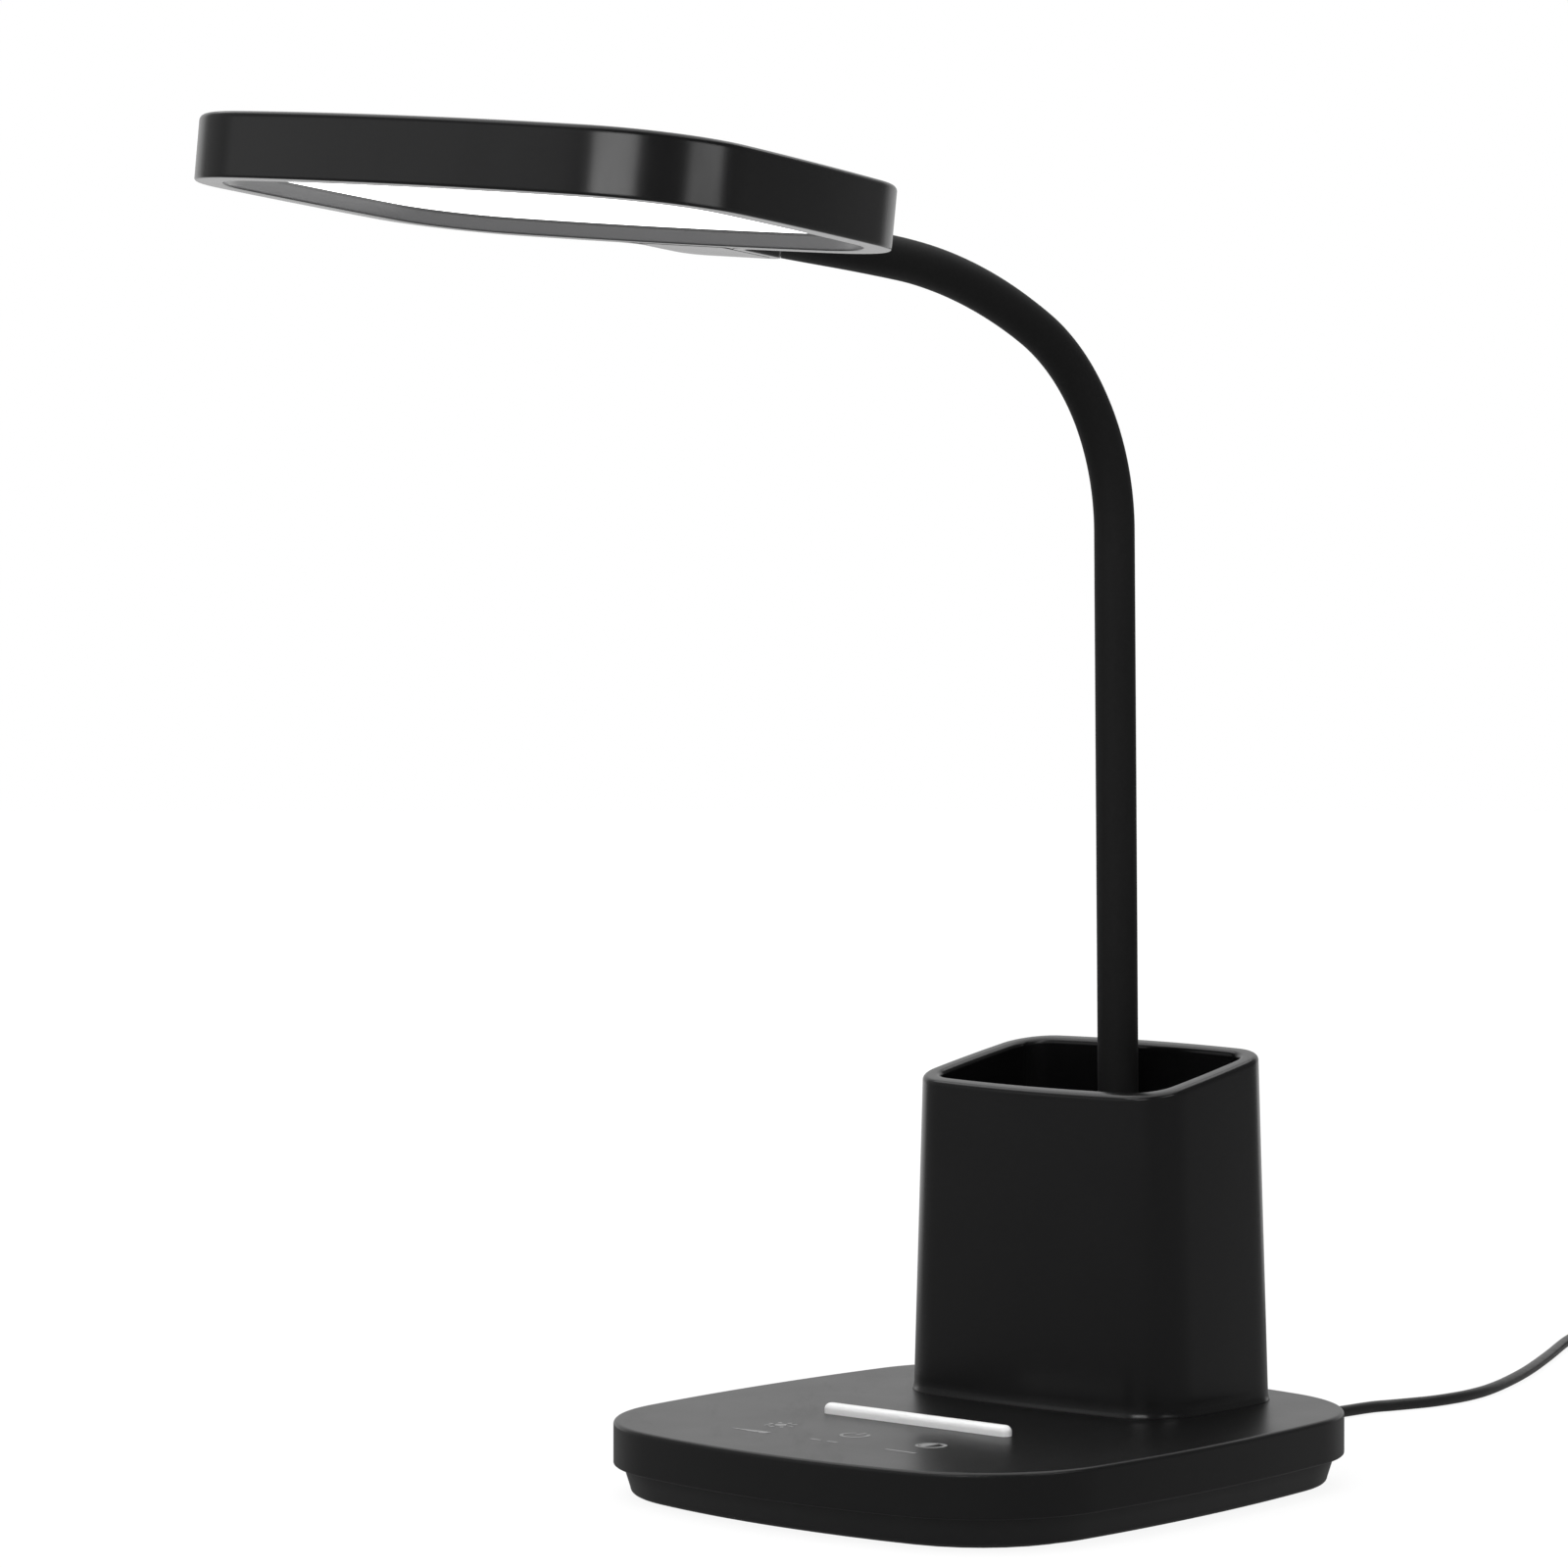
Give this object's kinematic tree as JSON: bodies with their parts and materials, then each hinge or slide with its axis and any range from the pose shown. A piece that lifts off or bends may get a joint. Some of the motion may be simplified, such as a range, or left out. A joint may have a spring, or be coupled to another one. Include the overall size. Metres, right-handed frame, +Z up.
{
  "type": "desk lamp with pen holder",
  "caption": "Desk lamp with a flexible neck, a square edge-lit head, a pen cup with a slanted rim and a phone rest on a weighted base.",
  "frame": {"origin": "middle of the anti-slip pad's lower face, on the desk", "axes": "+Z up; -Y towards the front, where the touch keys are; +X to the lamp's own left when it faces you"},
  "size_m": [0.1987, 0.807, 0.3799],
  "materials": {
    "body_plastic": "satin moulded black, light grain",
    "tray_plastic": "matt moulded black",
    "inner_plastic": "plain moulded, hidden",
    "pad_rubber": "foamed anti-slip sheet",
    "pad_foam": "conductive foam",
    "ballast_steel": "bare punched plate",
    "fastener_steel": "zinc plated",
    "satin_chrome": "satin chrome",
    "board_laminate": "solder-masked laminate",
    "neck_silicone": "matt silicone sleeve",
    "hose_steel": "wound strip, hidden",
    "diffuser_opal": "opal white",
    "guide_acrylic": "clear acrylic sheet, hidden",
    "strip_board": "white strip board, hidden",
    "reflector_film": "white film, hidden",
    "spreader_aluminium": "mill sheet, hidden",
    "cord_rubber": "smooth satin jacket",
    "tie_plastic": "matt band",
    "plug_plastic": "moulded black",
    "plug_steel": "plated shell"
  },
  "bodies": {
    "base": {"anti_slip_pad": "pad_rubber", "base_tray": "tray_plastic", "ballast_plate": "ballast_steel", "base_screw_1": "fastener_steel", "base_screw_2": "fastener_steel", "base_screw_3": "fastener_steel", "base_screw_4": "fastener_steel", "base_cover": "body_plastic", "phone_rest_bar": "satin_chrome", "touch_board": "board_laminate", "touch_pad_left": "pad_foam", "touch_pad_middle": "pad_foam", "touch_pad_right": "pad_foam", "driver_board": "board_laminate", "strain_relief": "cord_rubber", "pen_cup": "body_plastic", "cup_screw_1": "fastener_steel", "cup_screw_2": "fastener_steel", "neck_nipple": "fastener_steel", "neck_washer": "fastener_steel", "neck_nut": "fastener_steel", "neck_sleeve_foot": "neck_silicone", "neck_hose_foot": "hose_steel", "neck_flex_sway": "neck_silicone", "power_cord": "cord_rubber", "cord_coil": "cord_rubber", "cord_tail": "cord_rubber", "coil_tie": "tie_plastic", "usb_plug": "plug_plastic", "usb_shell": "plug_steel"},
    "neck_low": {"neck_sleeve_low": "neck_silicone", "neck_hose_low": "hose_steel", "neck_flex_lean": "neck_silicone"},
    "neck_middle": {"neck_sleeve_middle": "neck_silicone", "neck_hose_middle": "hose_steel", "neck_flex_bend": "neck_silicone"},
    "neck_high": {"neck_sleeve_high": "neck_silicone", "neck_hose_high": "hose_steel", "neck_flex_turn": "neck_silicone"},
    "neck_front": {"neck_sleeve_front": "neck_silicone", "neck_hose_front": "hose_steel", "neck_flex_nod": "neck_silicone"},
    "head": {"neck_sleeve_head": "neck_silicone", "neck_hose_head": "hose_steel", "neck_anchor": "inner_plastic", "anchor_screw_1": "fastener_steel", "anchor_screw_2": "fastener_steel", "head_shell": "body_plastic", "tongue_cover": "body_plastic", "light_frame": "inner_plastic", "diffuser": "diffuser_opal", "light_guide": "guide_acrylic", "led_strip": "strip_board", "reflector_sheet": "reflector_film", "heat_spreader": "spreader_aluminium"}
  },
  "joints": [
    {"name": "neck_sway", "type": "hinge", "parent": "base", "child": "neck_low", "pos_m": [0, 0.06625, 0.16604], "axis": [0, 1, 0], "range_deg": [-30, 30], "deforming": ["neck_flex_sway"]},
    {"name": "neck_lean", "type": "hinge", "parent": "neck_low", "child": "neck_middle", "pos_m": [0, 0.06552, 0.23308], "axis": [1, 0, 0], "range_deg": [-30, 20], "deforming": ["neck_flex_lean"]},
    {"name": "neck_bend", "type": "hinge", "parent": "neck_middle", "child": "neck_high", "pos_m": [0, 0.05456, 0.32206], "axis": [1, 0, 0], "range_deg": [-40, 20], "deforming": ["neck_flex_bend"]},
    {"name": "neck_turn", "type": "hinge", "parent": "neck_high", "child": "neck_front", "pos_m": [0, -0.01524, 0.35923], "axis": [0, 0.1772, 0.9842], "range_deg": [-40, 40], "deforming": ["neck_flex_turn"]},
    {"name": "head_nod", "type": "hinge", "parent": "neck_front", "child": "head", "pos_m": [0.00005, -0.0749, 0.36315], "axis": [0.9998, 0.0223, 0], "range_deg": [-45, 35], "deforming": ["neck_flex_nod"]}
  ]
}
